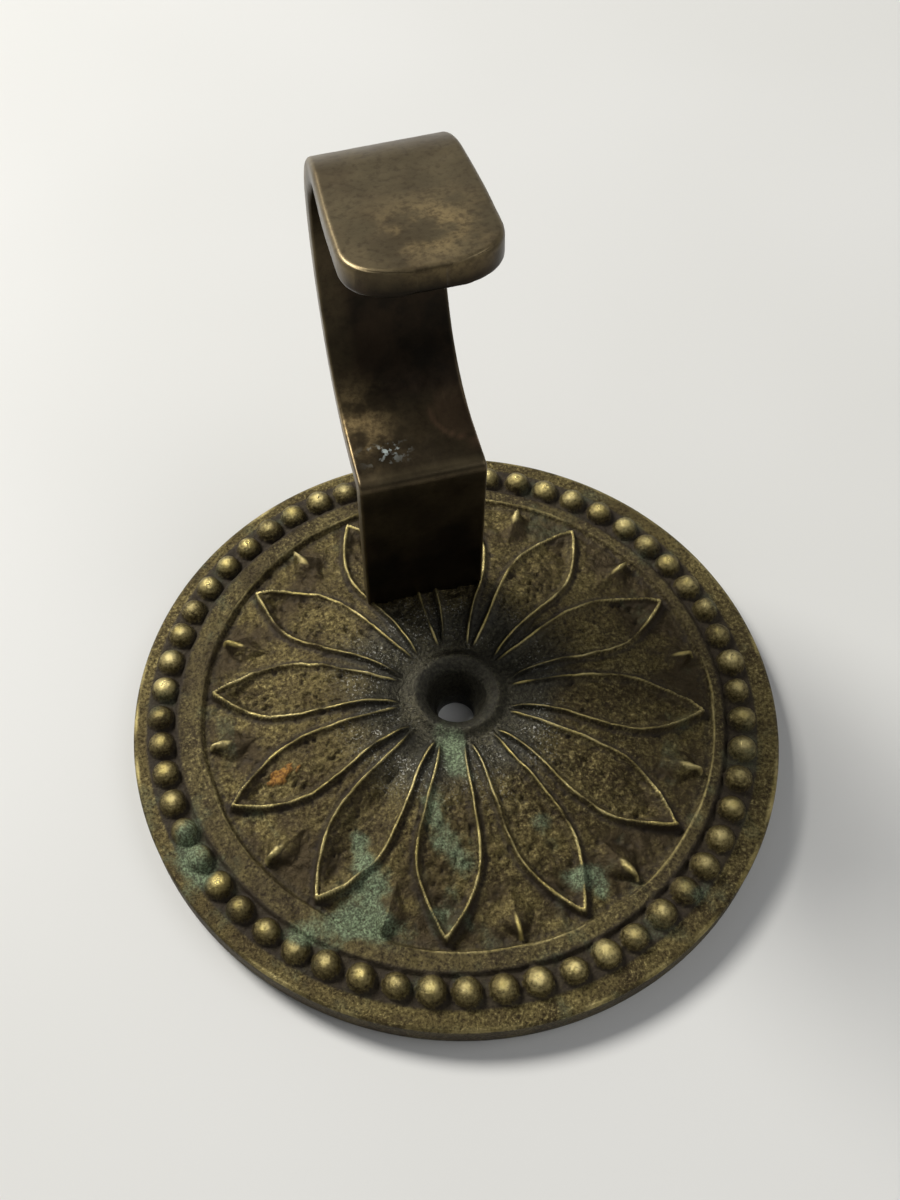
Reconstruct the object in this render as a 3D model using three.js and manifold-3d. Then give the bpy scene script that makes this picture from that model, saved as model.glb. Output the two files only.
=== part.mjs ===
// Wall hook on a round rosette: a cast brass plate with a bent flat bar fixed to it by a peened tenon.
// Millimetres, +Z out of the wall. The origin is at the centre of the plate's back plane.
// The hook's plane of symmetry is the YZ plane, and its curl lies towards +Y.
import * as THREE from 'three';
import { mergeVertices } from 'three/addons/utils/BufferGeometryUtils.js';
import Module from 'manifold-3d';

const wasm = await Module();
wasm.setup();
const { Manifold, Mesh: SolidMesh } = wasm;

// Rosette plate
const PLATE_R = 45;
const EDGE_Z = 4.3; // height of the plate's rim
const EDGE_ROUND = 0.4;
const PLATE_STEPS = 72;
const BAND_OUTER_R = 38.2; // plain raised band between the beads and the petal field
const BAND_INNER_R = 35.6;
const BAND_Z = 5.1;
const FIELD_Z = 4.5; // height of the petal field at the band
const CREST_R = 13; // the field domes up to this radius, then dips to the centre
const CREST_Z = 8.1;
const DIP_R = 7.4;
const DIP_Z = 7.3;
const RING_OUTER_R = 5.5; // raised ring round the screw cup
const RING_Z = 7.9;
const RING_INNER_R = 4.2;
const CUP_Z = 7.1;
const SEAT_R = 3.7; // flat at the foot of the cup, where a screw head sits
const SEAT_Z = 3.3;
const HOLE_R = 2.6;
const POCKET_Z = 3; // the back is hollow to this depth, between the rim and the screw boss
const POCKET_OUTER_R = 38;
const POCKET_INNER_R = 8.5;

// Beads, petals and leaves
const BEAD_COUNT = 56;
const BEAD_RING_R = 40.4;
const BEAD_R = 2;
const BEAD_Z = 4.7;
const BEAD_PHASE = 2.3; // degrees
const PETAL_COUNT = 12;
const PETAL_PHASE = -14.4; // degrees
const PETAL_TIP_R = 34.2;
const PETAL_ROOT_R = 8.6;
const PETAL_HALF_WIDTH = 4.1;
const PETAL_LIP = 0.9; // height of a petal's edge over the field
const PETAL_EDGE = 0.6; // thickness of that edge
const LEAF_TIP_R = 34.6;
const LEAF_LENGTH = 5.4;
const LEAF_HALF_WIDTH = 1.7;
const LEAF_HEIGHT = 1.3;

// Bent bar
const BAR_WIDTH = 16.8;
const BAR_T = 3;
const STEM_Y = 18.6; // middle of the stem's thickness
const SHOULDER_Z = 7.4; // the stem's foot
const FOLD_Z = 33.9; // middle of the shelf's thickness
const FOLD_CHAMFER = 2;
const SHELF_LENGTH = 5.5;
const CURL = [
  { turn: 56, radius: 17 },
  { turn: 38, radius: 30 },
  { turn: 77, radius: 11.6 },
];
const TONGUE_LENGTH = 18.6;
const CORNER_R = 6;
const BEND_STEP = 7; // degrees between the faces of a bend

// Tenon
const TENON_WIDTH = 11;
const TENON_T = 2;
const TENON_Z = 0.6;
const WASHER_WIDTH = 15;
const WASHER_LENGTH = 6;
const WASHER_T = 1.2;
const GAP = 0.3;

const rad = THREE.MathUtils.degToRad;
const ease = THREE.MathUtils.smoothstep;

// Height of the plate's top between the ring and the band.
function fieldHeight(r) {
  if (r > CREST_R) {
    return CREST_Z - (CREST_Z - FIELD_Z) * ease(r, CREST_R, BAND_INNER_R);
  }
  return DIP_Z + (CREST_Z - DIP_Z) * ease(r, DIP_R, CREST_R);
}

// Solids and meshes.
function solidOf(geometry) {
  const bare = geometry.index ? geometry.toNonIndexed() : geometry.clone();
  bare.deleteAttribute('normal');
  bare.deleteAttribute('uv');
  const merged = mergeVertices(bare, 1e-4);
  return new Manifold(new SolidMesh({
    numProp: 3,
    vertProperties: new Float32Array(merged.attributes.position.array),
    triVerts: new Uint32Array(merged.index.array),
  }));
}

function geometryOf(solid) {
  const mesh = solid.getMesh();
  const geometry = new THREE.BufferGeometry();
  geometry.setAttribute('position', new THREE.BufferAttribute(mesh.vertProperties, 3));
  geometry.setIndex(new THREE.BufferAttribute(mesh.triVerts, 1));
  geometry.computeVertexNormals();
  return geometry;
}

function block(width, length, height, x, y, z) {
  const geometry = new THREE.BoxGeometry(width, length, height);
  geometry.translate(x, y, z + height / 2);
  return solidOf(geometry);
}

// A closed skin over a row of sections with equal numbers of points, capped at both ends.
function loft(sections) {
  const count = sections[0].length;
  const positions = sections.flat().flatMap((p) => [p.x, p.y, p.z]);
  const index = [];
  for (let s = 0; s + 1 < sections.length; s += 1) {
    for (let i = 0; i < count; i += 1) {
      const a = s * count + i;
      const b = s * count + ((i + 1) % count);
      index.push(a, b, b + count, a, b + count, a + count);
    }
  }
  const last = (sections.length - 1) * count;
  for (let i = 1; i + 1 < count; i += 1) {
    index.push(0, i + 1, i, last, last + i, last + i + 1);
  }
  const geometry = new THREE.BufferGeometry();
  geometry.setAttribute('position', new THREE.Float32BufferAttribute(positions, 3));
  geometry.setIndex(index);
  return geometry;
}

// The plate without its relief: a turned body, hollow at the back, with the screw cup through its middle.
function plateBody() {
  const field = [];
  for (let r = DIP_R; r < BAND_INNER_R - 0.5; r += 4) {
    field.push([r, fieldHeight(r)]);
  }
  const profile = [
    [HOLE_R, 0], [HOLE_R, SEAT_Z], [SEAT_R, SEAT_Z], [RING_INNER_R, CUP_Z], [RING_OUTER_R - 0.4, RING_Z],
    [RING_OUTER_R + 0.2, RING_Z],
    ...field,
    [BAND_INNER_R, FIELD_Z], [BAND_INNER_R + 0.4, BAND_Z], [BAND_OUTER_R, BAND_Z],
    [PLATE_R - 3.6, EDGE_Z + 0.1], [PLATE_R - EDGE_ROUND, EDGE_Z], [PLATE_R, EDGE_Z - EDGE_ROUND],
    [PLATE_R, EDGE_ROUND], [PLATE_R - EDGE_ROUND, 0],
    [POCKET_OUTER_R, 0], [POCKET_OUTER_R - 0.5, POCKET_Z], [POCKET_INNER_R + 0.5, POCKET_Z], [POCKET_INNER_R, 0],
    [HOLE_R, 0],
  ];
  const points = profile.map(([r, z]) => new THREE.Vector2(r, z)).reverse();
  const lathe = new THREE.LatheGeometry(points, PLATE_STEPS);
  lathe.rotateX(Math.PI / 2);
  return solidOf(lathe);
}

function bead(index) {
  const angle = rad(BEAD_PHASE + (index * 360) / BEAD_COUNT);
  const geometry = new THREE.IcosahedronGeometry(BEAD_R, 1);
  geometry.translate(BEAD_RING_R * Math.cos(angle), BEAD_RING_R * Math.sin(angle), BEAD_Z);
  return solidOf(geometry);
}

// Half the width of a petal at a share of its length from root to tip.
function petalHalfWidth(share) {
  const root = 0.9;
  const swell = Math.sin(Math.PI * share ** 1.25) ** 0.8;
  return root * (1 - share) + PETAL_HALF_WIDTH * swell;
}

// A spoon-shaped petal along +X: a thin raised edge round a hollow, pointed at the tip.
function petal(index) {
  const sections = [];
  const steps = 6;
  for (let s = 0; s <= steps; s += 1) {
    const share = Math.min(s / steps, 0.985);
    const r = PETAL_ROOT_R + (PETAL_TIP_R - PETAL_ROOT_R) * share;
    const half = Math.max(petalHalfWidth(share), 0.3);
    const rise = PETAL_LIP * ease(share, -0.05, 0.25);
    const top = fieldHeight(r) + rise;
    const hollow = fieldHeight(r) + rise * ease(share, 0.8, 1) * 0.7 + 0.05;
    const inner = Math.max(half - PETAL_EDGE, half * 0.3);
    const base = POCKET_Z + 0.4;
    sections.push([
      new THREE.Vector3(r, -half, base), new THREE.Vector3(r, half, base), new THREE.Vector3(r, half, top),
      new THREE.Vector3(r, inner, top), new THREE.Vector3(r, 0, hollow), new THREE.Vector3(r, -inner, top),
      new THREE.Vector3(r, -half, top),
    ]);
  }
  const geometry = loft(sections);
  geometry.rotateZ(rad(PETAL_PHASE + (index * 360) / PETAL_COUNT));
  return solidOf(geometry);
}

// A small pointed leaf halfway between two petals: a ridge that rises to its tip.
function leaf(index) {
  const heel = LEAF_TIP_R - LEAF_LENGTH;
  const middle = LEAF_TIP_R - LEAF_LENGTH * 0.45;
  const base = POCKET_Z + 0.4;
  const section = (r, half, lift) => [
    new THREE.Vector3(r, -half, base), new THREE.Vector3(r, half, base),
    new THREE.Vector3(r, half, fieldHeight(r) + 0.1), new THREE.Vector3(r, 0, fieldHeight(r) + lift),
    new THREE.Vector3(r, -half, fieldHeight(r) + 0.1),
  ];
  const geometry = loft([
    section(heel, 0.4, 0.15), section(middle, LEAF_HALF_WIDTH, LEAF_HEIGHT * 0.7),
    section(LEAF_TIP_R, 0.2, LEAF_HEIGHT),
  ]);
  geometry.rotateZ(rad(PETAL_PHASE + ((index + 0.5) * 360) / PETAL_COUNT));
  return solidOf(geometry);
}

function repeat(count, make) {
  return Array.from({ length: count }, (_, index) => make(index));
}

function rosettePlate() {
  const relief = [...repeat(BEAD_COUNT, bead), ...repeat(PETAL_COUNT, petal), ...repeat(PETAL_COUNT, leaf)];
  const cast = Manifold.union([plateBody(), ...relief]);
  const seat = block(BAR_WIDTH + 2 * GAP, BAR_T + 2 * GAP, BAR_T * 2, 0, STEM_Y, SHOULDER_Z - GAP);
  const slot = block(TENON_WIDTH + 2 * GAP, TENON_T + 2 * GAP, SHOULDER_Z, 0, STEM_Y, 0);
  return geometryOf(cast.subtract(seat).subtract(slot));
}

// The middle line of the bar in the YZ plane from the fold to the tongue's tip, as runs and bends.
function barPath() {
  const points = [new THREE.Vector2(STEM_Y, FOLD_Z)];
  let heading = 0;
  const run = (length) => {
    const last = points[points.length - 1];
    points.push(new THREE.Vector2(last.x + length * Math.cos(heading), last.y + length * Math.sin(heading)));
  };
  run(SHELF_LENGTH);
  for (const { turn, radius } of CURL) {
    const steps = Math.ceil(turn / BEND_STEP);
    const step = rad(turn) / steps;
    for (let i = 0; i < steps; i += 1) {
      heading += step / 2;
      run(2 * radius * Math.sin(step / 2));
      heading += step / 2;
    }
  }
  run(TONGUE_LENGTH);
  return points;
}

// The bar's side outline: the path offset by half the thickness to each side, and the stem below the fold.
function barOutline() {
  const path = barPath();
  const upper = [];
  const lower = [];
  path.slice(1).forEach((point, i, rest) => {
    const before = path[i];
    const after = rest[i + 1] ?? point;
    const along = after.clone().sub(before).normalize();
    const side = new THREE.Vector2(-along.y, along.x).multiplyScalar(BAR_T / 2);
    upper.push(point.clone().add(side));
    lower.push(point.clone().sub(side));
  });
  const front = STEM_Y - BAR_T / 2;
  const back = STEM_Y + BAR_T / 2;
  const top = FOLD_Z + BAR_T / 2;
  return [
    new THREE.Vector2(back, SHOULDER_Z), new THREE.Vector2(back, FOLD_Z - BAR_T / 2), ...lower,
    ...upper.reverse(), new THREE.Vector2(front + FOLD_CHAMFER, top), new THREE.Vector2(front, top - FOLD_CHAMFER),
    new THREE.Vector2(front, SHOULDER_Z),
  ];
}

// What a rounded corner of the tongue leaves out: a square corner less its quarter disc.
function cornerWaste(tipY, side) {
  const centreX = side * (BAR_WIDTH / 2 - CORNER_R);
  const centreY = tipY + CORNER_R;
  const disc = new THREE.CylinderGeometry(CORNER_R, CORNER_R, 30, 32);
  disc.rotateX(Math.PI / 2);
  disc.translate(centreX, centreY, 70);
  const size = CORNER_R + 2;
  const square = block(size, size, 24, centreX + (side * size) / 2, centreY - size / 2, 58);
  return square.subtract(solidOf(disc));
}

function hookStrap() {
  const outline = barOutline();
  const bar = new THREE.ExtrudeGeometry(new THREE.Shape(outline), { depth: BAR_WIDTH, bevelEnabled: false });
  // The outline's plane is turned into YZ, and its extrusion along X is centred.
  bar.applyMatrix4(new THREE.Matrix4().makeBasis(
    new THREE.Vector3(0, 1, 0), new THREE.Vector3(0, 0, 1), new THREE.Vector3(1, 0, 0),
  ));
  bar.translate(-BAR_WIDTH / 2, 0, 0);
  const tipY = Math.min(...outline.filter((p) => p.y > FOLD_Z + 10).map((p) => p.x));
  const tenon = block(TENON_WIDTH, TENON_T, SHOULDER_Z + 1 - TENON_Z, 0, STEM_Y, TENON_Z);
  let solid = solidOf(bar).add(tenon);
  for (const side of [-1, 1]) {
    solid = solid.subtract(cornerWaste(tipY, side));
  }
  return geometryOf(solid);
}

function tenonWasher() {
  const z = POCKET_Z - GAP - WASHER_T;
  const plate = block(WASHER_WIDTH, WASHER_LENGTH, WASHER_T, 0, STEM_Y, z);
  const hole = block(TENON_WIDTH + 2 * GAP, TENON_T + 2 * GAP, WASHER_T + 2, 0, STEM_Y, z - 1);
  return geometryOf(plate.subtract(hole));
}

function part(name, geometry, color, roughness) {
  const mesh = new THREE.Mesh(geometry, new THREE.MeshStandardMaterial({ color, roughness, metalness: 1 }));
  mesh.name = name;
  return mesh;
}

const rosetteHook = new THREE.Group();
rosetteHook.add(
  part('rosette_plate', rosettePlate(), 0x6f5f33, 0.5),
  part('hook_strap', hookStrap(), 0x54452f, 0.42),
  part('tenon_washer', tenonWasher(), 0x7d6a3a, 0.5),
);

export default rosetteHook;
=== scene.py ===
"""Visual model of an antique brass wall hook on a round rosette."""
import math

import bpy
import numpy as np
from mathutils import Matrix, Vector


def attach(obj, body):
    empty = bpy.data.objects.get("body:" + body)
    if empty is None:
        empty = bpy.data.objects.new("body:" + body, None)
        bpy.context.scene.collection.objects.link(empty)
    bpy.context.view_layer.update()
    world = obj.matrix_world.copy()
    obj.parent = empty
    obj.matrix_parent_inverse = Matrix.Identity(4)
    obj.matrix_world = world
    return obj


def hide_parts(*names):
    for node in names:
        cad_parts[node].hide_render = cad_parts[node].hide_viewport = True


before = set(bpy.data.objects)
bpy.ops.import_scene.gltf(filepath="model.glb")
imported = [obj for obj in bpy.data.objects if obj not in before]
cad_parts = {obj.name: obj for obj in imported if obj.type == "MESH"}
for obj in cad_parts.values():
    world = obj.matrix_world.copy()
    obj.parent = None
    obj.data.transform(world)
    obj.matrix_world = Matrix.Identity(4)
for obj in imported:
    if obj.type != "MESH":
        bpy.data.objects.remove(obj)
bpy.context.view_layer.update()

# Lengths here are in millimetres and angles in degrees.
MM = 0.001

# Plate
PLATE_R = 45.0
PLATE_TOP = 4.35               # the flat rim outside the beads
HOLE_R = 2.6
BOSS_R = 8.0                   # the boss round the hole, behind the plate
POCKET_Z = 3.0                 # roof of the hollow back
BEADS_AT = (-0.4, 0.4)         # the cast ornament is a little off the plate's centre
PETALS_AT = (0.65, 0.4)
RING_AT = (1.0, 0.3)
RING_R = 7.3                   # foot of the raised ring round the screw cup
RING_RISE = 0.62

# Beads
BEADS = 56
BEAD_RING = 40.45
BEAD_R = 1.93
BEAD_TOP = 6.5
BEAD_VALLEY = 4.5
BEAD_PHASE = -16.6
BEAD_SHAPE = 2.3               # above 2, a bead is flatter on top than a ball
RIM_R = 42.2

# Petals: distances along a petal are from the centre
PETALS = 12
PETAL_PHASE = -105.3
PETAL_TIP = 34.3
PETAL_WIDE = 24.0
PETAL_ROOT = 8.0
PETAL_HALF = 4.15
PETAL_STALK = 1.75             # half the width at the root
PETAL_POINT = 1.75             # how fast the sides close on the tip
RIDGE_HALF = 0.3
BOWL_DEPTH = 1.1

# Leaves between the petals
LEAF_HEEL = 27.4
LEAF_SHOULDER = 32.0
LEAF_TIP = 34.9
LEAF_HALF = 2.5
LEAF_TOP = 1.95

# Band and field
BAND_IN = 35.3
BAND_OUT = 38.1
BAND_Z = 5.15
FIELD_EDGE = 36.0
FIELD_Z = 4.4
CREST_R = 13.5
CREST_Z = 8.3
DIP_Z = 7.5
DIP_WIDTH = 6.0

# Fineness of the plate's mesh
TURNS = BEADS * 15             # vertices round the plate
RING_STEP = 0.27
BEAD_STEP = 0.2                # closer rings across the beads

# Bar
BAR_W = 16.9
BAR_T = 3.0
STEM_Y = 18.6
STEM_FOOT = 7.2
STEM_TOP = 31.2
STEM_ROWS = 16
FOLD_Z = 33.9                  # middle of the bar on the shelf
FOLD_REACH = 3.2
BAR_AT_X = 0.5
CURL = ((56.0, 17.0), (38.0, 30.0), (78.0, 11.6))   # turn and radius of each bend
CURL_STEP = 1.6
SHELF_LENGTH = 5.5
TONGUE_LENGTH = 20.9
TIP_ROUND = 6.6
TIP_POWER = 2.7
TIP_STEPS = 28
TIP_HALF_MIN = 1.4
FLARE = 0.065                  # how much wider the tongue is than the stem
SWELL = 0.35                   # how much thicker the tongue is than the stem
ACROSS = 61                    # vertices across the bar
CROWDING = 1.55                # above 1, they crowd towards the edges

# Tenon, behind the plate
TENON_W = 11.0
TENON_T = 2.0
TENON_LOW = 0.6
TENON_HIGH = 7.6
TENON_CORNER = 0.35

# Noise
LATTICE = 256
LATTICE_SHIFT = 1000.0         # keeps the lattice's numbers above zero
OCTAVE_FADE = 0.55


# ---------------------------------------------------------------- numbers
def smooth(t):
    """Eases from 0 to 1 while t goes from 0 to 1."""
    t = np.clip(t, 0.0, 1.0)
    return t * t * (3.0 - 2.0 * t)


def gauss(d, width):
    return np.exp(-(d / width) ** 2)


def spot_at(x, y, center, spread):
    """A soft spot, 1 at its centre, with its own spread along x and y."""
    return np.exp(-((x - center[0]) / spread[0]) ** 2 - ((y - center[1]) / spread[1]) ** 2)


def turned(x, y, angle):
    """Distances along and across an axis through the origin, at an angle in radians."""
    along = x * math.cos(angle) + y * math.sin(angle)
    across = y * math.cos(angle) - x * math.sin(angle)
    return along, across


def value_noise(x, y, cell, seed):
    """Smooth noise from -1 to 1 over the plane, from a seeded lattice."""
    lattice = np.random.default_rng(seed).uniform(-1.0, 1.0, (LATTICE, LATTICE))
    u = np.asarray(x) / cell + LATTICE_SHIFT
    v = np.asarray(y) / cell + LATTICE_SHIFT
    iu = np.floor(u).astype(int)
    iv = np.floor(v).astype(int)
    fu = smooth(u - iu)
    fv = smooth(v - iv)

    def at(a, b):
        return lattice[(iu + a) % LATTICE, (iv + b) % LATTICE]

    low = at(0, 0) * (1 - fu) + at(1, 0) * fu
    high = at(0, 1) * (1 - fu) + at(1, 1) * fu
    return low * (1 - fv) + high * fv


def fractal(x, y, cell, octaves, seed):
    """Layers of noise, each twice as fine and fainter than the one before."""
    total = np.zeros(np.shape(x))
    for k in range(octaves):
        total = total + value_noise(x, y, cell / 2 ** k, seed + k) * OCTAVE_FADE ** k
    return total


# ---------------------------------------------------------------- meshes
def build_object(name, points, quads, masks, tones=None):
    """A smooth-shaded object from points in millimetres, with its masks and tones as colour attributes."""
    mesh = bpy.data.meshes.new(name)
    mesh.vertices.add(len(points))
    mesh.vertices.foreach_set("co", (np.asarray(points) * MM).astype(np.float32).ravel())
    quads = np.asarray(quads, dtype=np.int32)
    mesh.loops.add(quads.size)
    mesh.loops.foreach_set("vertex_index", quads.ravel())
    mesh.polygons.add(len(quads))
    mesh.polygons.foreach_set("loop_start", np.arange(0, quads.size, 4, dtype=np.int32))
    mesh.update(calc_edges=True)
    mesh.validate()
    for label, values in (("masks", masks), ("tones", tones)):
        if values is not None:
            layer = mesh.color_attributes.new(label, "FLOAT_COLOR", "POINT")
            layer.data.foreach_set("color", np.clip(values, 0, 1).astype(np.float32).ravel())
    mesh.polygons.foreach_set("use_smooth", np.ones(len(quads), dtype=bool))
    mesh.update()
    piece = bpy.data.objects.new(name, mesh)
    bpy.context.scene.collection.objects.link(piece)
    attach(piece, "root")
    return piece


# ---------------------------------------------------------------- plate relief
def field_height(r):
    """Height of the domed field, with its dip round the screw cup."""
    outer = FIELD_Z + (CREST_Z - FIELD_Z) * smooth((FIELD_EDGE - r) / (FIELD_EDGE - CREST_R))
    inner = CREST_Z - (CREST_Z - DIP_Z) * smooth((CREST_R - r) / DIP_WIDTH)
    return np.where(r > CREST_R, outer, inner)


def petal_half(u, width):
    """Half the width of a petal at the distance u along its axis."""
    grow = PETAL_STALK + (width - PETAL_STALK) * smooth((u - PETAL_ROOT) / (PETAL_WIDE - PETAL_ROOT))
    t = np.clip((u - PETAL_WIDE) / (PETAL_TIP - PETAL_WIDE), 0.0, 1.0)
    return np.where(u < PETAL_WIDE, grow, width * (1.0 - t ** PETAL_POINT))


def petal_depth(u, v, width, k):
    """How far inside the outline of petal k a point is, negative outside it."""
    wobble = 0.12 * value_noise(u, np.sign(v) * 9.0 + 20 * k, 2.6, 40)
    half = petal_half(u, width) + wobble * smooth((u - 11.0) / 4.0)
    slope = (petal_half(u + 0.1, width) - petal_half(u - 0.1, width)) / 0.2
    inside = (half - np.abs(v)) / np.sqrt(1.0 + slope ** 2)
    beyond = -np.hypot(np.maximum(u - PETAL_TIP, 0.0), v)
    return np.where(u > PETAL_TIP, beyond, inside)


def petal_relief(x, y):
    """For all petals: lift over the field, wear on the ridges, the bowls, and painted shade along the feet of
    the ridges.
    """
    lift = np.zeros(x.shape)
    wear = np.zeros(x.shape)
    bowl = np.zeros(x.shape)
    foot_shade = np.zeros(x.shape)
    dice = np.random.default_rng(11)
    for k in range(PETALS):
        angle = math.radians(PETAL_PHASE + 360.0 / PETALS * k + dice.uniform(-0.5, 0.5))
        width = PETAL_HALF * dice.uniform(0.96, 1.04)
        u, v = turned(x, y, angle)
        d = petal_depth(u, v, width, k)
        on = u > 0
        root = smooth((u - PETAL_ROOT + 0.9) / 2.4)
        nick = 1.0 + 0.2 * value_noise(u, v * 0.3 + 31 * k, 1.7, 52)
        rise = (0.85 + 0.8 * smooth((u - 26.5) / 7.5)) * root * nick
        ridge = 0.55 * gauss(d, RIDGE_HALF) + 0.45 * np.exp(-np.maximum(d, 0.0) / 1.25)
        floor = 0.9 * smooth((u - 27.5) / 6.5) - BOWL_DEPTH * smooth(d / 3.2) * smooth((u - 11.0) / 7.0)
        within = rise * ridge + floor * smooth(d / 0.9) * root
        without = np.where(on & (d > -1.5), rise * gauss(np.minimum(d, 0.0), RIDGE_HALF), 0.0)
        lift = np.where(on & (d > 0), within, np.maximum(lift, without))
        rub = gauss(d - 0.04, 0.17) * root * (0.7 + 0.5 * value_noise(u, v + 17 * k, 2.3, 61))
        rub = rub * (1.0 + 0.4 * smooth((u - 30.0) / 3.0))
        wear = np.maximum(wear, np.where(on, rub, 0.0))
        hollow = smooth(d / 1.2) * smooth((u - 13.0) / 5.0)
        bowl = np.maximum(bowl, np.where(on & (d > 0), hollow, 0.0))
        # Painted shade: dark lines along both feet of each ridge, stronger outside the petal
        ridge_foot_shade = np.maximum(gauss(d + 0.62, 0.42), 0.55 * gauss(d - 0.75, 0.4)) * root
        foot_shade = np.maximum(foot_shade, np.where(on, ridge_foot_shade, 0.0))
    return lift, wear, bowl, foot_shade


def leaf_relief(x, y):
    """Lift of the small pointed leaves between the petals, and the wear on their spines and tops."""
    lift = np.zeros(x.shape)
    wear = np.zeros(x.shape)
    dice = np.random.default_rng(23)
    for k in range(PETALS):
        angle = math.radians(PETAL_PHASE + 360.0 / PETALS * (k + 0.5) + dice.uniform(-1.2, 1.2))
        u, v = turned(x, y, angle)
        grow = smooth((u - LEAF_HEEL) / (LEAF_SHOULDER - LEAF_HEEL))
        close = np.clip((LEAF_TIP - u) / (LEAF_TIP - LEAF_SHOULDER), 0.0, 1.0)
        half = np.maximum(LEAF_HALF * dice.uniform(0.9, 1.1) * np.minimum(grow, close), 1e-3)
        top = LEAF_TOP * dice.uniform(0.85, 1.1) * np.clip((u - LEAF_HEEL) / 6.5, 0.0, 1.0)
        facet = np.clip(1.0 - np.abs(v) / half, 0.0, 1.0) ** 0.8
        here = np.where((u > LEAF_HEEL) & (u < LEAF_TIP), top * facet, 0.0)
        lift = np.maximum(lift, here)
        spine = gauss(v, 0.3) * smooth((u - 30.5) / 2.5) * (u < LEAF_TIP)
        wear = np.maximum(wear, np.maximum(0.8 * spine, 0.65 * smooth((here - 1.05) / 0.5)))
    return lift, wear


def leaf_shade(r):
    """Painted shade in the field between the petals' tips."""
    return smooth((r - 25.0) / 5.0) * smooth((35.5 - r) / 1.5)


def bead_relief(x, y):
    """Bead domes over the valley they stand in, and the wear on them, with a painted highlight on their tops.
    """
    dome = np.zeros(x.shape)
    wear = np.zeros(x.shape)
    angle = np.degrees(np.arctan2(y, x))
    r = np.hypot(x, y)
    near = np.abs(r - BEAD_RING) < 3.2
    dice = np.random.default_rng(5)
    step = 360.0 / BEADS
    for k in range(BEADS):
        at = BEAD_PHASE + step * k + dice.uniform(-0.22, 0.22)
        ring = BEAD_RING + dice.uniform(-0.14, 0.14)
        radius = BEAD_R * dice.uniform(0.93, 1.04)
        height = (BEAD_TOP - BEAD_VALLEY) * dice.uniform(0.86, 1.0)
        squash = dice.uniform(0.94, 1.06)
        away = (angle - at + 180.0) % 360.0 - 180.0
        close = near & (np.abs(away) < step * 0.75)
        arc = np.radians(away[close]) * ring
        q = np.hypot((r[close] - ring) * squash, arc) / radius
        bump = height * np.sqrt(np.clip(1.0 - q ** BEAD_SHAPE, 0.0, 1.0)) ** 0.9
        dome[close] = np.maximum(dome[close], bump)
        # Wear over the whole dome, and a brighter spot on its top painted as a highlight
        rub = (0.4 * smooth((0.95 - q) / 0.2) + 0.5 * smooth((0.55 - q) / 0.4)) * dice.uniform(0.5, 1.0)
        wear[close] = np.maximum(wear[close], rub)
    return dome, wear


# Green patches of verdigris: centre x, y, spread along x and y, strength
VERDIGRIS = (
    (-39.3, -14.7, 3.0, 5.0, 0.95),
    (-16.5, -22.5, 2.4, 6.0, 0.95),
    (-19.0, -28.0, 5.5, 2.8, 0.85),
    (-25.5, -28.0, 4.5, 2.5, 0.5),
    (-1.8, -9.0, 1.9, 4.5, 0.8),
    (-5.5, -20.0, 3.0, 8.0, 0.62),
    (-7.5, -30.5, 2.8, 2.6, 0.7),
    (10.5, -28.2, 3.2, 1.8, 0.9),
    (12.6, -30.0, 1.3, 2.2, 0.75),
    (8.0, -21.0, 2.4, 5.5, 0.3),
    (23.0, -32.5, 4.0, 2.5, 0.4),
)
RUST_AT = (-24.8, -5.7)
RUST_TURN = 9.0
RUST_SIZE = (2.0, 0.95)
RUST_RISE = 0.3


def verdigris_mask(x, y, bead_r):
    """The green patches with cloudy edges, and a faint haze of green towards the rim."""
    green = np.zeros(x.shape)
    cloud = fractal(x, y, 3.4, 4, 120)
    for cx, cy, sx, sy, strength in VERDIGRIS:
        green = np.maximum(green, spot_at(x, y, (cx, cy), (sx, sy)) * strength)
    green = smooth((green + 0.28 * cloud - 0.25) / 0.55) * smooth(green / 0.25)
    return np.maximum(green, 0.2 * smooth(cloud - 0.35) * (bead_r > 30))


def rust_mask(x, y):
    """One ragged fleck in a petal's bowl."""
    along, aside = turned(x - RUST_AT[0], y - RUST_AT[1], math.radians(RUST_TURN))
    fleck = np.hypot(along / RUST_SIZE[0], aside / RUST_SIZE[1])
    return smooth((1.0 + 0.4 * fractal(x, y, 0.9, 2, 140) - fleck) / 0.15)


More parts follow.
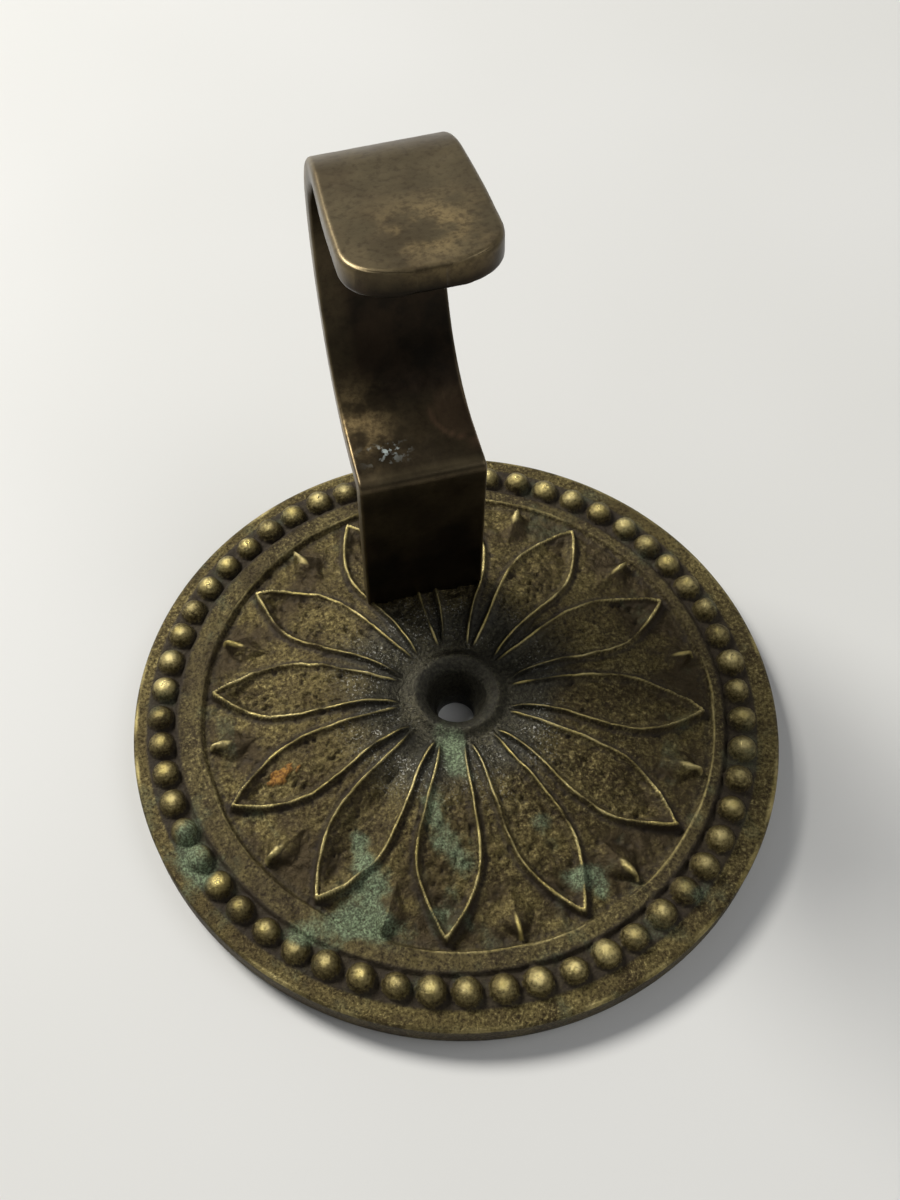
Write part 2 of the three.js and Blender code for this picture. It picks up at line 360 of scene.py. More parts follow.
def relief(x, y):
    """Height of the plate's face, with its masks and tones.

    The masks are wear, with a painted highlight on each bead's top, soiling in the hollows, with painted shade
    along the feet of the petals' ridges, verdigris and rust. The tones are painted shade on the slope round
    the cup, the petals' bowls, painted shade between the petals' tips, and painted glints on the ring at the
    top of the dome.
    """
    px, py = x - PETALS_AT[0], y - PETALS_AT[1]
    bx, by = x - BEADS_AT[0], y - BEADS_AT[1]
    petal_r, bead_r = np.hypot(px, py), np.hypot(bx, by)
    ring_r = np.hypot(x - RING_AT[0], y - RING_AT[1])
    wander = 0.16 * value_noise(x, y, 5.0, 3)
    band_r = petal_r + wander - BAND_IN

    # Ornament on the field, then the band, the bead valley and the rim outside it
    z = field_height(petal_r) + RING_RISE * smooth((RING_R - ring_r) / 1.6)
    petal_lift, petal_wear, bowl, foot_shade = petal_relief(px, py)
    leaf_lift, leaf_wear = leaf_relief(px, py)
    off_ring = smooth((ring_r - 6.2) / 2.0)
    z = z + petal_lift * off_ring + leaf_lift
    band = smooth(band_r / 0.45)
    z = z * (1 - band) + BAND_Z * band
    valley = smooth((bead_r + wander - BAND_OUT) / 0.5)
    z = z * (1 - valley) + BEAD_VALLEY * valley
    dome, bead_wear_and_highlight = bead_relief(bx, by)
    z = z + dome * valley
    rim = smooth((bead_r - RIM_R) / 0.7)
    z = z * (1 - rim) + PLATE_TOP * rim

    # Rough casting skin with pits, least on the worn ridges
    rough = fractal(x, y, 1.15, 3, 70)
    pits = -np.clip(-fractal(x, y, 0.7, 2, 90) - 0.45, 0.0, 1.0)
    zone = smooth((petal_r - 11.0) / 7.0) * (1 - band)
    on_ridge = np.clip(petal_wear + leaf_wear, 0, 1)
    z = z + (0.17 * rough + 0.55 * pits) * zone * (1 - 0.85 * on_ridge) * (0.75 + 0.5 * bowl)
    z = z + 0.08 * rough * band * (1 - rim) * (1 - 0.6 * bead_wear_and_highlight)
    z = z + 0.02 * rough * smooth((ring_r - 6.0) / 3.0)

    # Bare metal on ridges, beads, the band's inner line and the plate's edge, with a painted highlight on each
    # bead's top
    broken = 0.35 + 0.65 * smooth(value_noise(x, y, 7.0, 8) + 0.6)
    line = gauss(band_r - 0.5, 0.22) * broken
    edge = smooth((np.hypot(x, y) - 44.0) / 0.5) * (0.28 + 0.3 * value_noise(x, y, 4.0, 9))
    wear = np.maximum.reduce([petal_wear * off_ring, leaf_wear, bead_wear_and_highlight, 0.5 * line, edge])

    # Dirt in every groove and hollow, and painted shade along the feet of the petals' ridges
    off_dome = 1 - smooth(dome / 0.7)
    groove = gauss(bead_r - BAND_OUT - 0.3, 0.45) + gauss(band_r + 0.35, 0.5) * 0.7
    between = valley * off_dome * (1 - rim)
    low = smooth((-petal_lift + 0.05) / 0.3) * zone * 0.4
    in_pits = 0.5 * np.clip(-pits * 2.0, 0, 1) * zone
    dirt_and_shade = 0.3 * band * (1 - rim) * off_dome + groove * 0.8 + between * 0.95
    dirt_and_shade = np.clip(dirt_and_shade + low * 0.6 + in_pits + 0.7 * foot_shade * off_ring, 0, 1)
    dirt_and_shade = np.maximum(dirt_and_shade, 0.35 * smooth((6.4 - ring_r) / 1.6))

    green = verdigris_mask(x, y, bead_r)
    rust = rust_mask(x, y)
    z = z + RUST_RISE * rust
    wear = wear * (1 - 0.75 * green)
    masks = np.stack([wear, dirt_and_shade, green, np.where(rust > 0.02, rust, 0.0)], -1)

    # Painted shade on the slope round the cup: full within about 10 mm of the centre, gone by about 20 mm
    funnel_shade = smooth((19.5 + 2.5 * value_noise(x, y, 5.0, 3) - petal_r) / 9.0)
    # Painted glints: where silver specks go on the ring at the top of the dome
    crest_glints = gauss(petal_r - CREST_R + 1.0, 4.0)
    tones = np.stack([funnel_shade, bowl, leaf_shade(petal_r), crest_glints], -1)
    return z, masks, tones


# ---------------------------------------------------------------- plate
def rings_of_plate():
    """The closed section of the plate as rows of (radius, height or None for the relief)."""
    # Hole, screw cup and the lip of the raised ring
    rows = [(HOLE_R, 0.0), (HOLE_R, 0.9), (HOLE_R, 2.2), (HOLE_R + 0.12, 2.75), (HOLE_R + 0.45, 3.15)]
    rows += [(3.05 + 0.95 * t, 3.15 + 3.5 * t ** 0.8) for t in (0.15, 0.35, 0.55, 0.75, 0.9)]
    rows += [(4.05, 6.75), (4.25, 7.05), (4.55, 7.35), (4.9, 7.65), (5.2, 7.88), (5.5, 8.02)]
    # Face
    r = 5.85
    while r < PLATE_R - 0.55:
        rows.append((r, None))
        r += RING_STEP if r < 37.5 or r > 43.0 else BEAD_STEP
    # Rounded edge and side
    rows += [(PLATE_R - 0.45, PLATE_TOP), (PLATE_R - 0.2, PLATE_TOP - 0.1)]
    rows += [(PLATE_R - 0.05, PLATE_TOP - 0.28), (PLATE_R, PLATE_TOP - 0.5)]
    rows += [(PLATE_R, z) for z in (3.0, 2.2, 1.4, 0.5)]
    # Back: foot of the rim, hollow, and the boss round the hole
    rows += [(PLATE_R - 0.15, 0.15), (PLATE_R - 0.5, 0.0)]
    rows += [(r, 0.0) for r in (43.0, 41.0, 39.0, 38.3)]
    rows += [(37.9, 0.2), (37.7, 0.8), (37.5, 2.4), (37.2, 2.85), (36.6, POCKET_Z)]
    rows += [(r, POCKET_Z) for r in np.linspace(35.0, 10.5, 18)]
    rows += [(9.3, POCKET_Z), (8.95, 2.8), (8.8, 2.3), (8.6, 0.6), (8.4, 0.12), (BOSS_R, 0.0)]
    rows += [(r, 0.0) for r in (6.0, 4.0, 3.0)]
    return rows


def plain_ring(x, y, r, z, mask):
    """Height and masks of a ring in the cup, on the side or on the back, where there is no relief."""
    high = np.full(TURNS, z)
    in_cup = r < 7.0
    if in_cup or z < 4.0:
        mask[:, 0] = 0.0
        mask[:, 1] = 0.45 if in_cup else 0.6
        mask[:, 3] = 0.0
    if z < POCKET_Z + 0.05:
        mask[:, 2] *= 0.2
    if z == POCKET_Z:
        high = high + 0.05 * fractal(x, y, 2.2, 2, 33)
    return high, mask


def make_plate():
    rows = rings_of_plate()
    theta = np.arange(TURNS) * 2 * np.pi / TURNS
    points, masks, tones = [], [], []
    for r, z in rows:
        # The hole shares the raised ring's centre, and the rim is true to the plate's
        drift = 1.0 - smooth((r - 6.0) / 39.0)
        x = RING_AT[0] * drift + r * np.cos(theta)
        y = RING_AT[1] * drift + r * np.sin(theta)
        high, mask, tone = relief(x, y)
        if z is not None:
            high, mask = plain_ring(x, y, r, z, mask)
        points.append(np.stack([x, y, high], -1))
        masks.append(mask)
        tones.append(tone)
    count = len(rows)
    row = np.arange(count)[:, None] * TURNS
    next_row = (np.arange(count)[:, None] + 1) % count * TURNS
    turn = np.arange(TURNS)[None, :]
    next_turn = (turn + 1) % TURNS
    corners = [row + turn, next_row + turn, next_row + next_turn, row + next_turn]
    quads = np.stack(corners, -1).reshape(-1, 4)
    plate = build_object("rosette_casting", np.concatenate(points), quads, np.concatenate(masks),
                         np.concatenate(tones))
    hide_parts("rosette_plate")
    return plate


# ---------------------------------------------------------------- bar
def bar_moves():
    """Short steps along the middle of the bar, from the fold to the tip, as (chord, turn in radians)."""
    moves = [((SHELF_LENGTH - FOLD_REACH) / 3, 0.0)] * 3
    for turn, radius in CURL:
        steps = int(turn / CURL_STEP)
        step = math.radians(turn) / steps
        moves += [(2 * radius * math.sin(step / 2), step)] * steps
    moves += [((TONGUE_LENGTH - TIP_ROUND) / 22, 0.0)] * 22
    left = [TIP_ROUND * (1.0 - math.sin(math.pi / 2 * k / TIP_STEPS)) for k in range(TIP_STEPS + 1)]
    moves += [(before - after, 0.0) for before, after in zip(left, left[1:])]
    return moves


def bar_stations():
    """Rows along the bar, each a point on the upper face and one on the lower face, as (y, z).

    The faces are named where they lie on the shelf. The upper face is the stem's front, the inside of the curl
    and the underside of the tongue.
    """
    half = BAR_T / 2
    rows = [((STEM_Y - half, z), (STEM_Y + half, z)) for z in np.linspace(STEM_FOOT, STEM_TOP, STEM_ROWS)]
    # The fold is sharp outside and tight inside: steps back from the stem's faces, and heights
    fold_out = ((0, 32.8), (0, 34.0), (0.06, 34.55), (0.28, 35.02), (0.7, 35.28), (1.3, 35.39), (2.4, 35.4))
    fold_in = ((0, 31.7), (0, 31.95), (0.03, 32.15), (0.12, 32.3), (0.3, 32.38), (0.6, 32.4), (1.0, 32.4))
    for (uy, uz), (ly, lz) in zip(fold_out, fold_in):
        rows.append(((STEM_Y - half + uy, uz), (STEM_Y + half + ly, lz)))

    y, z, heading = STEM_Y + FOLD_REACH, FOLD_Z, 0.0
    path = [(y, z, heading)]
    for chord, turn in bar_moves():
        heading += turn / 2
        y += chord * math.cos(heading)
        z += chord * math.sin(heading)
        heading += turn / 2
        path.append((y, z, heading))
    for n, (y, z, heading) in enumerate(path):
        ny, nz = -math.sin(heading), math.cos(heading)
        over = half + SWELL * min(max((n / len(path) - 0.45) / 0.3, 0.0), 1.0)
        rows.append(((y + ny * over, z + nz * over), (y - ny * half, z - nz * half)))
    return rows


def bar_half_width(travel):
    """Half the bar's width along its length: parallel, flared at the tongue, rounded at the tip."""
    share = np.clip(1.0 - (travel[-1] - travel) / TIP_ROUND, 0.0, 1.0)
    half = BAR_W / 2 * (1.0 - share ** TIP_POWER) ** (1.0 / TIP_POWER)
    half = np.maximum(half, TIP_HALF_MIN)
    return half * (1.0 + FLARE * smooth((travel - 76.0) / 18.0))


def inset_from_edge(s, x, travel, half):
    """Distance of each point of the bar's face from the face's outline."""
    end = travel[-1]
    tip = np.stack([np.full(15, end), np.linspace(-half[-1], half[-1], 15)], -1)
    outline = np.concatenate([np.stack([travel, half], -1), np.stack([travel, -half], -1), tip])
    along = s.ravel()[:, None] - outline[None, :, 0]
    aside = x.ravel()[:, None] - outline[None, :, 1]
    inset = np.sqrt((along ** 2 + aside ** 2).min(1)).reshape(s.shape)
    inset = np.minimum(inset, half[:, None] - np.abs(x) + 1e-9)
    return np.where(s > end - TIP_ROUND, np.minimum(inset, end - s + 1e-9), inset)


def bar_masks(s, x, inset, fold_at, end):
    """Masks of both faces, upper then lower: wear, worn gold patches that are also painted light, scuffs, and
    a ring-shaped mark.
    """
    masks = np.zeros((2,) + s.shape + (4,))
    upper, lower = masks
    ragged = 0.5 + 0.5 * fractal(s, x, 2.4, 3, 230)
    frayed = 0.2 + 0.8 * ragged
    rim = gauss(inset, 0.28) * frayed
    fold = gauss(s - fold_at - 1.0, 0.55) * (0.4 + 0.5 * ragged)
    upper[..., 0] = np.maximum(rim * 0.6 * smooth((70.0 - s) / 8.0), fold * 0.6)
    lower[..., 0] = 0.4 * gauss(inset - 0.3, 0.3) * frayed
    # Painted sheen near the tongue's tip, as a gold patch
    lower[..., 1] = spot_at(end - s, x, (6.5, 1.5), (5.0, 5.0))
    # A pool of light painted inside the curl, as a gold patch
    upper[..., 1] = spot_at(s, x, (35.5, -7.0), (4.5, 3.6))
    upper[..., 2] = spot_at(s, x, (fold_at + 4.2, -4.0), (0.9, 2.4))
    arc = np.hypot(s - 35.5, x - 9.3)
    line = 0.6 * gauss(arc - 6.0, 0.35) * smooth((37.0 - s) / 2.0)
    inside = 0.22 * smooth((6.0 - arc) / 1.0) * smooth((40.0 - s) / 4.0)
    upper[..., 3] = np.maximum(line, inside)
    return masks


def bar_tones(s, x, inset, fold_at, end, gold_and_light):
    """Tones of both faces, upper then lower: painted shade, and a painted sheen on the tongue."""
    tones = np.zeros((2,) + s.shape + (4,))
    upper, lower = tones
    # Painted shade: the stem's front goes nearly black, darkest towards its bottom
    stem = smooth((fold_at + 1.0 - s) / 1.5)
    foot_shade = smooth((fold_at - 2.0 - s) / 14.0)
    stem_shade = 0.55 * stem + 0.45 * stem * foot_shade
    # Painted shade inside the curl
    curl = smooth((s - fold_at - 9.0) / 9.0) * smooth((x + 7.5) / 6.0) * smooth((84.0 - s) / 10.0)
    # Painted shade over the rest of this face, lifted where the gold patch is painted as light
    shelf = 0.65 * (1 - stem) * (1 - 0.9 * gold_and_light)
    painted_shade = np.clip(stem_shade + shelf + 0.7 * curl + 0.2 * fractal(s, x, 4.0, 3, 270) * stem, 0, 1)
    # Painted shade under the tongue and on its front wall, except along its left edge
    under_tongue_shade = smooth((s - 78.0) / 5.0) * smooth((x + 8.2) / 1.0 + (s > 95.0))
    upper[..., 0] = np.maximum(painted_shade, under_tongue_shade)
    # Painted shade along the edges and front wall of the tongue's top, except on the left
    edge = 0.7 * gauss(inset, 0.32) * smooth((s - 60.0) / 10.0)
    lower[..., 0] = edge * smooth((x + 7.0) / 2.0 + (end - s < 2.0))
    # Painted sheen: the tongue's top is lighter, fading in where it leaves the curl
    lower[..., 1] = smooth((s - 74.0) / 14.0) * smooth(inset / 0.3)
    return tones


def bar_quads(rows, columns):
    """Quads of two facing grids of points and the wall that joins their outlines."""
    size = rows * columns
    index = np.arange(size).reshape(rows, columns)
    a, b, c, d = index[:-1, :-1], index[:-1, 1:], index[1:, 1:], index[1:, :-1]
    upper = np.stack([a, b, c, d], -1).reshape(-1, 4)
    lower = np.stack([a, d, c, b], -1).reshape(-1, 4) + size
    loop = np.concatenate([index[0, :], index[1:, -1], index[-1, -2::-1], index[-2:0:-1, 0]])
    after = np.roll(loop, -1)
    wall = np.stack([after, loop, loop + size, after + size], -1)
    return np.concatenate([upper, lower, wall])


def make_bar():
    """The bar as two faces, swept along its middle line, with rounded, dented edges."""
    stations = bar_stations()
    upper = np.array([row[0] for row in stations])
    lower = np.array([row[1] for row in stations])
    middle = (upper + lower) / 2
    travel = np.r_[0.0, np.cumsum(np.hypot(*np.diff(middle, axis=0).T))]
    half = bar_half_width(travel)
    share = np.linspace(-1, 1, ACROSS)
    across = np.sign(share) * (1.0 - (1.0 - np.abs(share)) ** CROWDING)
    x = half[:, None] * across[None, :]
    s = np.repeat(travel[:, None], ACROSS, 1)

    inset = inset_from_edge(s, x, travel, half)
    edge_r = 0.42 + 0.25 * smooth((s - 60.0) / 20.0)
    short = edge_r - np.clip(inset, 0.0, edge_r)
    drop = edge_r - np.sqrt(np.maximum(edge_r ** 2 - short ** 2, 0.0))
    dents = 0.05 * fractal(s, x, 6.0, 3, 200) + 0.012 * fractal(s, x, 1.2, 2, 210)
    nick = 0.10 * np.clip(value_noise(s, x, 1.6, 220) - 0.35, 0, 1) * gauss(inset, 0.8)
    inward = (lower - upper) / np.hypot(*(lower - upper).T)[:, None]

    def face(edge, direction, dent_share):
        push = np.maximum(drop + dents * dent_share * smooth(inset / 1.0) + nick, 0.0)
        yz = edge[:, None, :] + direction[:, None, :] * push[..., None]
        return np.stack([x + BAR_AT_X, yz[..., 0], yz[..., 1]], -1).reshape(-1, 3)

    points = np.concatenate([face(upper, inward, 1.0), face(lower, -inward, 0.8)])
    fold_at, end = travel[STEM_ROWS + 2], travel[-1]
    masks = bar_masks(s, x, inset, fold_at, end)
    tones = bar_tones(s, x, inset, fold_at, end, masks[0, ..., 1])
    bar = build_object("hook_bar", points, bar_quads(*x.shape), masks.reshape(-1, 4), tones.reshape(-1, 4))
    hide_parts("hook_strap")
    return bar


def tenon_outline():
    """The tenon's rectangle with rounded corners, in four points a corner."""
    ring = []
    for side_x, side_y, start in ((1, 1, 0), (-1, 1, 90), (-1, -1, 180), (1, -1, 270)):
        for k in range(4):
            t = math.radians(start + 30 * k)
            ring.append((side_x * (TENON_W / 2 - TENON_CORNER) + TENON_CORNER * math.cos(t),
                         side_y * (TENON_T / 2 - TENON_CORNER) + TENON_CORNER * math.sin(t)))
    return np.array(ring)


def make_tenon():
    """The bar's tenon behind the plate: a worn rectangular stub with a rounded end."""
    rows = [(TENON_LOW, 0.28), (TENON_LOW + 0.08, 0.1), (TENON_LOW + 0.3, 0.0)]   # height and inset
    rows += [(2.0, 0.0), (4.0, 0.0), (TENON_HIGH, 0.0)]
    ring = tenon_outline()
    count = len(ring)
    points = []
    for z, inset in rows:
        x, y = (ring - np.sign(ring) * inset).T
        points.append(np.c_[x, y + STEM_Y, np.full(count, z)])
    quads = []
    for i in range(len(rows) - 1):
        for j in range(count):
            k = (j + 1) % count
            quads.append((i * count + j, i * count + k, (i + 1) * count + k, (i + 1) * count + j))
    # Both ends, in strips across the outline
    last = (len(rows) - 1) * count
    for j in range(1, count // 2):
        k = count - j
        quads.append((j - 1, k % count, k - 1, j))
        quads.append((last + j - 1, last + j, last + k - 1, last + k % count))
    points = np.concatenate(points)
    masks = np.zeros((len(points), 4))
    masks[:, 1] = 0.4
    tenon = build_object("tenon_end", points, quads, masks)
    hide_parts("hook_strap")
    return tenon


# ---------------------------------------------------------------- materials
class Nodes:
    """Short calls for building one material's node tree."""

    def __init__(self, name):
        self.material = bpy.data.materials.new(name)
        self.material.use_nodes = True
        self.tree = self.material.node_tree
        self.shader = self.tree.nodes["Principled BSDF"]
        coords = self.tree.nodes.new("ShaderNodeTexCoord")
        self.place = coords.outputs["Object"]

    def link(self, source, target):
        self.tree.links.new(source, target)

    def put(self, socket, value):
        if isinstance(value, bpy.types.NodeSocket):
            self.link(value, socket)
        else:
            socket.default_value = value

    def noise(self, scale, detail=4.0, rough=0.6):
        node = self.tree.nodes.new("ShaderNodeTexNoise")
        node.inputs["Scale"].default_value = scale
        node.inputs["Detail"].default_value = detail
        node.inputs["Roughness"].default_value = rough
        self.link(self.place, node.inputs["Vector"])
        return node.outputs["Fac"]

    def ramp(self, value, low, high):
        """0 at low, 1 at high, eased between them; low may be the larger."""
        node = self.tree.nodes.new("ShaderNodeMapRange")
        node.interpolation_type = "SMOOTHSTEP"
        node.inputs["From Min"].default_value = low
        node.inputs["From Max"].default_value = high
        self.link(value, node.inputs["Value"])
        return node.outputs["Result"]

    def math(self, kind, a, b):
        node = self.tree.nodes.new("ShaderNodeMath")
        node.operation = kind
        node.use_clamp = True
        self.put(node.inputs[0], a)
        self.put(node.inputs[1], b)
        return node.outputs[0]

    def times(self, first, *factors):
        product = first
        for factor in factors:
            product = self.math("MULTIPLY", product, factor)
        return product

    def mix(self, fac, a, b):
        node = self.tree.nodes.new("ShaderNodeMix")
        node.data_type = "RGBA"
        self.put(node.inputs[0], fac)
        self.put(node.inputs[6], a)
        self.put(node.inputs[7], b)
        return node.outputs[2]

    def over(self, base, color, *factors):
        """The colour laid over the base by the product of the factors."""
        return self.mix(self.times(*factors), base, color)

    def blend(self, fac, a, b):
        node = self.tree.nodes.new("ShaderNodeMix")
        node.data_type = "FLOAT"
        self.put(node.inputs[0], fac)
        self.put(node.inputs[2], a)
        self.put(node.inputs[3], b)
        return node.outputs[0]

    def layer(self, name):
        """The four channels of a colour attribute."""
        node = self.tree.nodes.new("ShaderNodeAttribute")
        node.attribute_name = name
        split = self.tree.nodes.new("ShaderNodeSeparateColor")
        self.link(node.outputs["Color"], split.inputs["Color"])
        return [split.outputs["Red"], split.outputs["Green"], split.outputs["Blue"], node.outputs["Alpha"]]

    def bump(self, height, strength, distance):
        node = self.tree.nodes.new("ShaderNodeBump")
        node.inputs["Strength"].default_value = strength
        node.inputs["Distance"].default_value = distance
        self.link(height, node.inputs["Height"])
        self.link(node.outputs["Normal"], self.shader.inputs["Normal"])


def rgb(r, g, b):
    return (r, g, b, 1.0)


def cast_brass():
    """Old cast brass: brown skin with golden grain, soiling, verdigris, a rust fleck and worn ridges, with
    painted shade round the cup, along the petals' ridges and between their tips, painted glints on the dome's
    top ring, and a painted highlight on each bead.
    """
    n = Nodes("cast_brass_patina_and_painted_light")
    wear, dirt_and_shade, green, rust = n.layer("masks")
    funnel_shade, _, tip_shade, crest_glints = n.layer("tones")
    clouds = n.noise(160.0, 5.0, 0.65)
    patches = n.noise(75.0, 3.0, 0.6)
    grain = n.noise(2100.0, 4.0, 0.72)
    speck = n.noise(3200.0, 2.0, 0.6)
    fine = n.ramp(grain, 0.35, 0.65)

    base = n.mix(n.ramp(clouds, 0.32, 0.7), rgb(0.058, 0.042, 0.018), rgb(0.135, 0.105, 0.038))
    base = n.over(base, rgb(0.30, 0.245, 0.10), n.ramp(grain, 0.5, 0.7), n.ramp(patches, 0.3, 0.68))
    base = n.over(base, rgb(0.022, 0.014, 0.007), n.ramp(grain, 0.52, 0.33), 0.85)
    # Painted shade in the field between the petals' tips
    base = n.over(base, rgb(0.055, 0.040, 0.020), n.ramp(tip_shade, 0.1, 1.0), n.ramp(clouds, 0.62, 0.4))
    # Soiling in the hollows, with painted shade along the feet of the petals' ridges
    base = n.over(base, rgb(0.026, 0.017, 0.009), n.ramp(dirt_and_shade, 0.1, 1.0), 0.85)
    # Painted shade: a nearly black colour laid over the slope round the cup
    painted_shade = n.mix(fine, rgb(0.018, 0.017, 0.013), rgb(0.050, 0.049, 0.036))
    base = n.over(base, painted_shade, funnel_shade, 0.85)
    # Painted glints: silver specks laid on the dome's top ring
    glint_silver = rgb(0.42, 0.41, 0.36)
    base = n.over(base, glint_silver, crest_glints, n.ramp(speck, 0.58, 0.66), n.ramp(clouds, 0.42, 0.58), 0.8)
    verdigris = n.mix(n.ramp(speck, 0.4, 0.65), rgb(0.085, 0.105, 0.058), rgb(0.26, 0.335, 0.19))
    green_amount = n.times(green, n.ramp(grain, 0.25, 0.5), 0.95)
    base = n.mix(green_amount, base, verdigris)
    bare = n.mix(n.ramp(clouds, 0.35, 0.65), rgb(0.48, 0.385, 0.13), rgb(0.72, 0.60, 0.27))
    # Bare brass where worn, including the painted highlights on the beads' tops
    worn = n.times(n.ramp(wear, 0.12, 0.8), n.ramp(grain, 0.2, 0.5))
    base = n.mix(worn, base, bare)
    orange = n.mix(n.ramp(speck, 0.4, 0.6), rgb(0.19, 0.078, 0.012), rgb(0.40, 0.20, 0.035))
    base = n.mix(rust, base, orange)
    n.link(base, n.shader.inputs["Base Color"])

    dull = n.math("MAXIMUM", n.math("MAXIMUM", green_amount, rust), n.times(dirt_and_shade, 0.7))
    n.link(n.blend(dull, 0.85, 0.15), n.shader.inputs["Metallic"])
    rough = n.blend(n.ramp(grain, 0.3, 0.7), 0.58, 0.42)
    rough = n.blend(n.times(funnel_shade, 0.8), n.blend(worn, rough, 0.27), 0.34)
    n.link(n.blend(dull, rough, 0.8), n.shader.inputs["Roughness"])
    n.bump(n.math("ADD", n.times(grain, 0.8), n.times(speck, 0.3)), 0.85, 0.0003)
    return n.material


def bar_brass():
    """Smooth brown bar brass: painted shade on the stem, the shelf and in the curl, a painted sheen on the
    tongue, worn gold patches that are also painted light, scuffs and worn edges.
    """
    n = Nodes("bar_brass_patina_and_painted_light")
    wear, gold_and_light, scuff, mark = n.layer("masks")
    painted_shade, tongue, _, _ = n.layer("tones")
    clouds = n.noise(120.0, 5.0, 0.6)
    grain = n.noise(1300.0, 3.0, 0.65)
    smear = n.noise(260.0, 3.0, 0.55)
    scratch = n.noise(700.0, 3.0, 0.6)

    base = n.mix(n.ramp(clouds, 0.3, 0.7), rgb(0.088, 0.064, 0.034), rgb(0.150, 0.115, 0.060))
    # Painted sheen: a lighter colour for the tongue's top
    light = n.mix(n.ramp(clouds, 0.35, 0.65), rgb(0.17, 0.128, 0.070), rgb(0.225, 0.178, 0.098))
    base = n.over(base, light, tongue, 0.8)
    base = n.over(base, rgb(0.05, 0.03, 0.018), n.ramp(grain, 0.55, 0.25), 0.45)
    # Painted shade: a near-black colour for the stem, the shelf, the curl and the tongue's walls
    shade_dark = n.mix(n.ramp(clouds, 0.4, 0.65), rgb(0.009, 0.007, 0.005), rgb(0.024, 0.015, 0.009))
    base = n.over(base, shade_dark, painted_shade, 0.94)
    # Brighter gold: worn brass, painted as a pool of light inside the curl and as sheen near the tongue's tip
    rubbed_and_lit_gold = n.mix(n.ramp(grain, 0.35, 0.65), rgb(0.24, 0.170, 0.080), rgb(0.58, 0.42, 0.19))
    base = n.over(base, rubbed_and_lit_gold, gold_and_light, n.ramp(smear, 0.38, 0.62), 0.75)
    base = n.over(base, rgb(0.34, 0.27, 0.15), wear, 0.5)
    scraped = n.times(scuff, n.ramp(scratch, 0.54, 0.62))
    base = n.over(base, rgb(0.42, 0.48, 0.47), scraped, 0.9)
    base = n.over(base, rgb(0.30, 0.17, 0.10), mark, 0.6)
    n.link(base, n.shader.inputs["Base Color"])

    n.shader.inputs["Metallic"].default_value = 0.9
    rough = n.blend(n.ramp(smear, 0.3, 0.7), 0.34, 0.42)
    n.link(n.blend(scraped, rough, 0.7), n.shader.inputs["Roughness"])
    n.bump(n.math("ADD", n.times(grain, 0.5), n.times(smear, 0.5)), 0.3, 0.00012)
    return n.material


def washer_brass():
    n = Nodes("washer_brass")
    clouds = n.noise(300.0, 4.0, 0.6)
    grain = n.noise(2200.0, 3.0, 0.6)
    base = n.mix(n.ramp(clouds, 0.3, 0.7), rgb(0.16, 0.12, 0.05), rgb(0.36, 0.28, 0.12))
    base = n.over(base, rgb(0.06, 0.04, 0.02), n.ramp(grain, 0.55, 0.3), 0.6)
    n.link(base, n.shader.inputs["Base Color"])
    n.shader.inputs["Metallic"].default_value = 0.85
    n.link(n.blend(n.ramp(grain, 0.3, 0.7), 0.42, 0.62), n.shader.inputs["Roughness"])
    n.bump(grain, 0.4, 0.00015)
    return n.material


def floor_material():
    n = Nodes("pale_table")
    faint = n.ramp(n.noise(9.0, 2.0, 0.5), 0.3, 0.7)
    base = n.mix(faint, rgb(0.745, 0.74, 0.71), rgb(0.775, 0.77, 0.745))
    n.link(base, n.shader.inputs["Base Color"])
    n.shader.inputs["Roughness"].default_value = 0.6
    return n.material


# ---------------------------------------------------------------- stage, in metres
def make_floor():
    half = 2.5
    z = -1e-5                  # just clear of the plate's back
    mesh = bpy.data.meshes.new("table")
    mesh.from_pydata([(-half, -half, z), (half, -half, z), (half, half, z), (-half, half, z)], [],
                     [(0, 1, 2, 3)])
    floor = bpy.data.objects.new("table", mesh)
    bpy.context.scene.collection.objects.link(floor)
    floor.data.materials.append(floor_material())


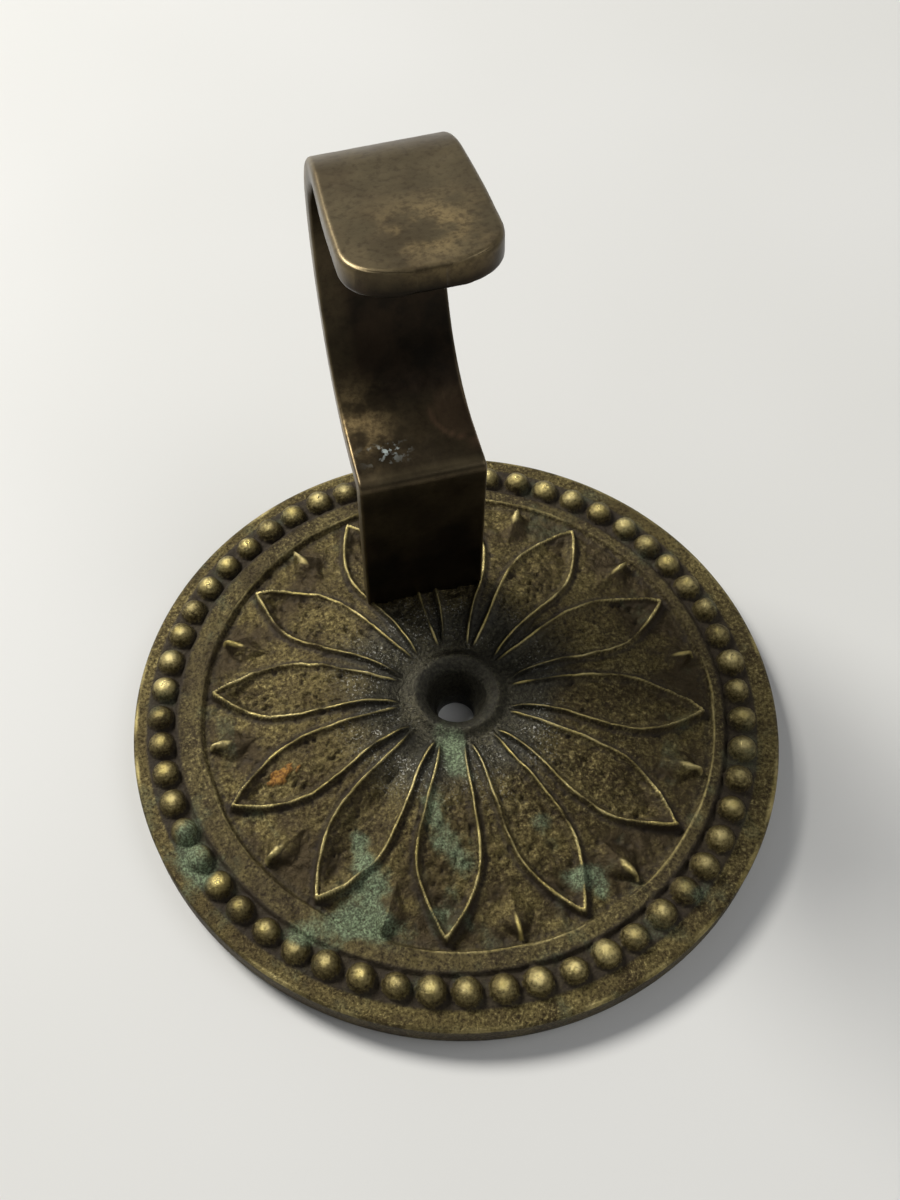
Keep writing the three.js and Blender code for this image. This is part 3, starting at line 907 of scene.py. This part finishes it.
def area_light(name, at, aim, size, power, color):
    data = bpy.data.lights.new(name, "AREA")
    data.shape = "DISK"
    data.size = size
    data.energy = power
    data.color = color
    lamp = bpy.data.objects.new(name, data)
    bpy.context.scene.collection.objects.link(lamp)
    lamp.location = at
    lamp.rotation_euler = (Vector(aim) - Vector(at)).to_track_quat("-Z", "Y").to_euler()


def make_world():
    """Soft room light, pale at the horizon and dim overhead."""
    world = bpy.data.worlds.new("soft_room")
    world.use_nodes = True
    tree = world.node_tree
    background = tree.nodes["Background"]
    coords = tree.nodes.new("ShaderNodeTexCoord")
    split = tree.nodes.new("ShaderNodeSeparateXYZ")
    ramp = tree.nodes.new("ShaderNodeValToRGB")
    horizon, overhead = ramp.color_ramp.elements
    horizon.position = 0.0
    horizon.color = rgb(0.66, 0.66, 0.64)
    overhead.position = 0.55
    overhead.color = rgb(0.115, 0.118, 0.125)
    tree.links.new(coords.outputs["Generated"], split.inputs["Vector"])
    tree.links.new(split.outputs["Z"], ramp.inputs["Fac"])
    tree.links.new(ramp.outputs["Color"], background.inputs["Color"])
    background.inputs["Strength"].default_value = 1.0
    bpy.context.scene.world = world


def make_camera():
    data = bpy.data.cameras.new("camera")
    data.lens = 39.35
    data.sensor_width = 36.0
    data.shift_x = 0.1
    data.clip_start = 0.005
    camera = bpy.data.objects.new("camera", data)
    bpy.context.scene.collection.objects.link(camera)
    camera.location = (-0.02291, -0.08441, 0.16892)
    camera.rotation_euler = [math.radians(a) for a in (32.733, 3.761, -11.165)]
    bpy.context.scene.camera = camera


plate = make_plate()
plate.data.materials.append(cast_brass())
bar_finish = bar_brass()
for piece in (make_bar(), make_tenon()):
    piece.data.materials.append(bar_finish)
washer_finish = washer_brass()
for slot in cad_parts["tenon_washer"].material_slots:
    slot.material = washer_finish

make_floor()
make_world()
middle_of_hook = (0.0, 0.0, 0.02)
area_light("window", (-0.55, 0.75, 0.9), middle_of_hook, 0.42, 17.0, (1.0, 0.985, 0.95))
area_light("room", (0.7, -0.2, 1.0), middle_of_hook, 0.9, 2.6, (0.97, 0.98, 1.0))
make_camera()
bpy.context.scene.view_settings.view_transform = "Standard"
